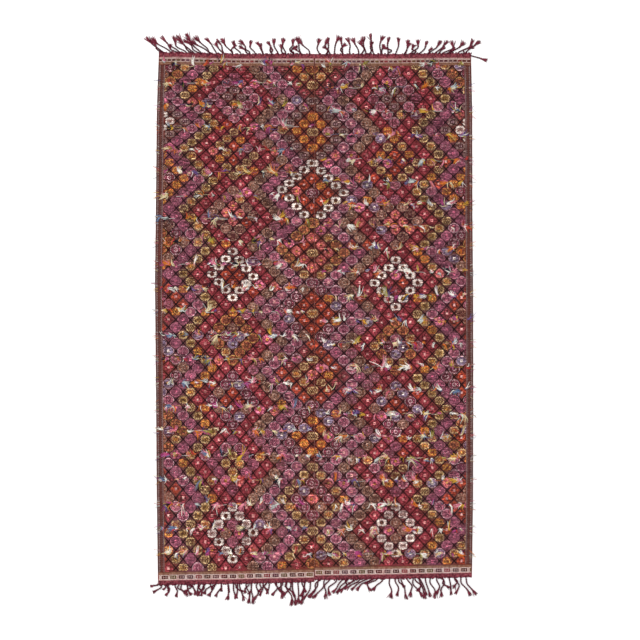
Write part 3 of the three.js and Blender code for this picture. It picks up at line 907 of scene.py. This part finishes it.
# The skirt's darker specks are a painted shade of the weave's hollows
skirt_wool = wool("skirt_wool", "#52222a", "#88424a", blotch=9, specks_and_hollow_shade=0.45)
for side in SIDES:
    for end, out in (("top", 1), ("bottom", -1)):
        near = lambda x: end_y(side, end, x) + out * GAP
        far = lambda x: end_y(side, end, x) + out * (GAP + SKIRT_DEPTH)
        lines = (far, near) if end == "top" else (near, far)
        piece = sheet_of(f"skirt_{end}_{side}", side, *lines, SKIRT_STEPS, SKIRT_CLOTH)
        piece.data.materials.append(skirt_wool)
        dyed(piece.data, 1.0)
        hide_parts(f"fringe_{end}_{side}")

# Fringe: the warps plied in pairs into cords that lie on the floor, each knotted near its end and brushed
# out beyond the knot.
CORDS = {
    "top": {"count": 20, "sway": 5, "pair": 5, "knot_at": 0.66, "tip": 1.0, "light": 1.0},
    "bottom": {"count": 26, "sway": 4, "pair": 0, "knot_at": 0.7, "tip": 0.88, "light": 1.35},
}
FINER_CORDS = {("top", "left"): 13, ("top", "right"): 13, ("bottom", "left"): 22, ("bottom", "right"): 9}
# How far the cords reach and how much they lean, by where they stand across the rug
LAY = {
    "top": {
        "across": (
            -742, -670, -598, -526, -444, -358, -252, -142, -12,
            74, 170, 266, 372, 459, 564, 660, 732,
        ),
        "lean": (
            -1.05, -1.1, -1, -0.75, -0.45, -0.6, -0.35, -0.25, -0.4,
            0.18, -0.15, -0.2, 0.1, 0.6, 1, 1.2, 0.9,
        ),
        "reach": (77, 77, 82, 86, 82, 72, 67, 72, 77, 82, 82, 96, 72, 67, 62, 58, 62),
    },
    "bottom": {
        "across": (
            -742, -684, -627, -550, -478, -425, -358, -300, -252, -204, -146, -70, -8,
            26, 98, 170, 276, 334, 363, 435, 531, 603, 675, 742,
        ),
        "lean": (
            -1.1, 0.1, 0.4, -0.1, -0.6, 0, 0.26, 0, -0.2, 0, 0.15, 0, -0.3,
            -0.35, -0.5, -0.82, -1.45, -0.7, 0.1, 0.35, 0.2, 0.05, 0.25, 0.4,
        ),
        "reach": (
            43, 53, 58, 62, 53, 72, 86, 91, 77, 43, 101, 110, 96,
            100, 84, 60, 50, 62, 88, 92, 102, 84, 88, 84,
        ),
    },
}
# Two cords leave a corner sideways: where they begin, and how far they run, fall and hook
CORNERS = {("top", "right"): (742, 1266, 88, -20, -6), ("bottom", "left"): (-738, -1270, -52, -26, 16)}
CORD_STEPS, CORD_ROOT, CORD_STRAY, CORD_CURL = 36, 9, 0.12, 22
FINER_REACH, FINER_LEAN, FINER_CURL = (0.45, 0.9), 0.35, 11
PLY_ROUND, PLY_APART, PLY_TURN, PLY_STEPS = 2.2, 1.8, 20, 24
KNOT_ALONG, KNOT_HIGH = np.array([-5, -3.6, -1.2, 1.4, 3.8, 5.2]), 3.7
KNOT_ROUND = np.array([2, 3.9, 4.7, 4.6, 3.6, 2.6])
# The brushed ends beyond each knot: how far along each step lies, how thick it is and how much a painted
# shade darkens it, darkest by the knot, and between what heights it lies at the knot, midway and at the tip
TIP_ENDS, TIP_ALONG, TIP_ROUND = 20, np.array([0, 0.3, 0.65, 1]), np.array([1.4, 1.7, 1.4, 0.5])
TIP_PAINTED_SHADE, TIP_HIGH = np.array([0.7, 0.85, 1, 1.1]), ((1.8, 5.2), (1.4, 5), (0.9, 2.4))
ROOT_LOCKS = 110
cord_yarns = [
    wool("cord_wool", "#33111a", "#5c222f", blotch=6),
    wool("tip_wool", "#55202c", "#903f4f", blotch=6),
]
t = np.linspace(0, 1, CORD_STEPS)


def lay(end, what, x):
    """How far cords reach, or how much they lean, by where they stand along an end."""
    return np.interp(x, LAY[end]["across"], LAY[end][what])


def cord(side, end, out, x, reach, drift):
    """A cord's line on the floor, from its root inside the skirt to its tip, drifting aside on its way."""
    begin = end_y(side, end, x) + out * (GAP + SKIRT_DEPTH - CORD_ROOT)
    return np.column_stack([x + drift, begin + out * t * (reach + CORD_ROOT)])


def free(reach):
    """How far along its free length each step of a cord lies, none of it inside the skirt."""
    return np.clip((t * (reach + CORD_ROOT) - CORD_ROOT) / reach, 0, 1)


def curled(gone, turn):
    """A cord's curl, none at either end."""
    return np.sin(math.pi * gone) * np.sin(5.5 * gone + turn)


def at_length(where, gone, line):
    """Points of a flat line by how far along it they lie."""
    return np.column_stack([np.interp(where, gone, line[:, c]) for c in (0, 1)])


for side in SIDES:
    for end, out in (("top", 1), ("bottom", -1)):
        chance = np.random.RandomState(53 + SIDES[side] + 7 * out)
        lines = []
        count, sway, pair, knot_at, tip, light = CORDS[end].values()
        between = FINER_CORDS[end, side]
        for n in range(count):
            seed = 1000 + 100 * (1 if end == "top" else 2) + n + (0 if side == "left" else 50)
            x = SIDES[side] * ((n + 0.5 + 0.2 * (scatter(seed) - 0.5)) / count * (LOOM_WIDTH - 24) + 6)
            reach = lay(end, "reach", x) * (1 + CORD_STRAY * (2 * scatter(seed + 0.3) - 1))
            gone = free(reach)
            soon = 0.1 + 0.14 * scatter(seed + 0.5)
            turned = np.interp(gone, (0, 0.15, 0.45, 0.75, 1), (0, soon, 0.62, 0.88, 1))
            aside = sway * t * np.sin(6.3 * t + 0.03 * x) + SIDES[side] * pair * (-1 if n % 2 else 1) * t * t
            aside += CORD_CURL * (scatter(seed + 0.6) - 0.3) * curled(gone, 6.3 * scatter(seed + 0.8))
            lines.append(cord(side, end, out, x, reach, lay(end, "lean", x) * reach * turned + aside))
        for n in range(between):
            x = SIDES[side] * ((n + chance.uniform(0.1, 0.9)) / between * (LOOM_WIDTH - 40) + 14)
            reach = lay(end, "reach", x) * chance.uniform(*FINER_REACH)
            lean = lay(end, "lean", x) + chance.normal(0, FINER_LEAN)
            gone = free(reach)
            aside = chance.normal(0, FINER_CURL) * curled(gone, chance.uniform(0, 6.3))
            lines.append(cord(side, end, out, x, reach, lean * reach * gone**0.7 + aside))
        if (end, side) in CORNERS:
            x, y, run, fall, hook = CORNERS[end, side]
            lines.append(np.column_stack([x + run * t, y + fall * t + hook * t * t]))
        neck, neck_round, knot, hair, hair_tone_and_shade = [], [], [], [], []
        for line in lines:
            run = np.gradient(line, axis=0)
            run /= np.linalg.norm(run, axis=1, keepdims=True)
            aside = np.column_stack([-run[:, 1], run[:, 0]])
            gone = np.concatenate([[0], np.cumsum(np.linalg.norm(np.diff(line, axis=0), axis=1))])
            set_in = np.interp(gone, (0, 14), (0.55, 1))
            fine = np.linspace(0, gone[t <= knot_at + 0.03][-1], PLY_STEPS)
            middle = np.interp(fine, gone, set_in * (PLY_ROUND + PLY_APART))
            swing = PLY_APART * np.interp(fine, gone, set_in)
            for ply in (0, math.pi):
                turn = 2 * math.pi * fine / PLY_TURN + ply
                flat = at_length(fine, gone, line)
                flat += (swing * np.cos(turn))[:, None] * at_length(fine, gone, aside)
                neck.append(np.column_stack([flat, middle + swing * np.sin(turn)]))
                neck_round.append(PLY_ROUND * np.interp(fine, gone, set_in))
            at = knot_at * gone[-1]
            around = at_length(at + KNOT_ALONG, gone, line)
            knot.append(np.column_stack([around, np.full(len(around), KNOT_HIGH)]))
            tail = gone[-1] - at
            base, ahead, flank = (at_length([at], gone, way) for way in (line, run, aside))
            for _ in range(TIP_ENDS):
                spread = tip * chance.normal(0, 0.17)
                u = TIP_ALONG * tail * chance.uniform(0.75, 1.08)
                fan = chance.normal(0, 3.4) * np.sqrt(u / tail) + chance.normal(0, 2.5) * (u / tail) ** 2
                off = tip * fan + spread * u
                height = np.interp(u / tail, (0, 0.4, 1.1), [chance.uniform(*span) for span in TIP_HIGH])
                hair.append(np.column_stack([base + ahead * u[:, None] + flank * off[:, None], height]))
                # Each hair's own random tone, times a painted shade that darkens it near the knot
                hair_tone_and_shade.append(chance.uniform(0.5, 1.3) * TIP_PAINTED_SHADE)
        # Short locks cover the place where the cords leave the skirt
        x = SIDES[side] * chance.uniform(8, LOOM_WIDTH - 8, ROOT_LOCKS)
        lean = lay(end, "lean", x) * 9 + chance.normal(0, 4, len(x))
        edge = end_y(side, end, x) + out * (GAP + SKIRT_DEPTH)
        roots = floats(
            np.column_stack([x, edge - out * 7]),
            np.column_stack([x + lean, edge + out * chance.uniform(0, 6, len(x))]),
            chance.uniform(2, 4.2, len(x)), 0.1, chance.uniform(3.2, 5.4, len(x)), 4,
        )
        groups = [
            (*roots, FLOAT_FACES, 1),
            (*tubes(np.array(neck), np.array(neck_round), 3), 0),
            (*tubes(np.array(knot), KNOT_ROUND * (0.3 + 0.7 * tip), 6, 0.8), 1),
            (*tubes(np.array(hair), TIP_ROUND, 3), 1),
        ]
        shift = np.cumsum([0] + [len(points) for points, _, _, _ in groups])
        cords = joined(
            f"cords_{end}_{side}",
            np.concatenate([points for points, _, _, _ in groups]),
            np.concatenate([corners + s for (_, corners, _, _), s in zip(groups, shift)]),
            np.concatenate([np.full(len(corners), yarn) for _, corners, _, yarn in groups]),
            cord_yarns,
            np.concatenate([
                np.repeat(chance.uniform(0.6, 1.2, len(x)), FLOAT_POINTS),
                np.full(shift[2] - shift[1], light),
                np.full(shift[3] - shift[2], 0.8),
                np.repeat(np.array(hair_tone_and_shade).ravel(), 3),
            ]),
        )
        flat = (LOOM_WIDTH * MM, SKIRT_DEPTH * MM)

# Stage: a plain white floor under soft, even studio light, with the camera straight above on a long lens.
# The picture is square, and the rug's middle lies a little to the left of its own and above it.
PIXEL, PICTURE, LENS, SENSOR = 4.803 * MM, 640, 135, 36
PAST_MIDDLE = (5.5 * PIXEL, -PIXEL)
FLOOR_SIZE, FLOOR_DOWN, WORLD_LIGHT = 16, 0.0004, 0.94
KEY_AT, KEY_SIZE, KEY_LIGHT = (-3, 3.5, 6.5), 4.0, 260
bpy.ops.object.select_all(action="DESELECT")
bpy.ops.mesh.primitive_plane_add(size=FLOOR_SIZE)
floor = bpy.context.object
floor.name = "floor"
floor.location.z = -FLOOR_DOWN
paper = bpy.data.materials.new("floor_paper")
paper.use_nodes = True
shader = paper.node_tree.nodes["Principled BSDF"]
shader.inputs["Base Color"].default_value = colour("#ffffff")
shader.inputs["Roughness"].default_value = 0.9
floor.data.materials.append(paper)

world = bpy.data.worlds.new("studio")
world.use_nodes = True
sky = world.node_tree.nodes["Background"]
sky.inputs["Color"].default_value = colour("#ffffff")
sky.inputs["Strength"].default_value = WORLD_LIGHT
bpy.context.scene.world = world
bpy.ops.object.light_add(type="AREA", location=KEY_AT)
key = bpy.context.object
key.data.shape, key.data.size, key.data.energy = "DISK", KEY_SIZE, KEY_LIGHT
key.rotation_euler = (math.atan2(-KEY_AT[1], KEY_AT[2]), math.atan2(KEY_AT[0], KEY_AT[2]), 0)

bpy.ops.object.camera_add()
camera = bpy.context.object
camera.data.lens, camera.data.sensor_width = LENS, SENSOR
camera.location = (
    SEAM_X * MM + PAST_MIDDLE[0], MIDDLE_Y * MM + PAST_MIDDLE[1], PICTURE * PIXEL * LENS / SENSOR,
)
camera.data.clip_end = 100
bpy.context.scene.camera = camera
bpy.context.scene.view_settings.view_transform = "Standard"
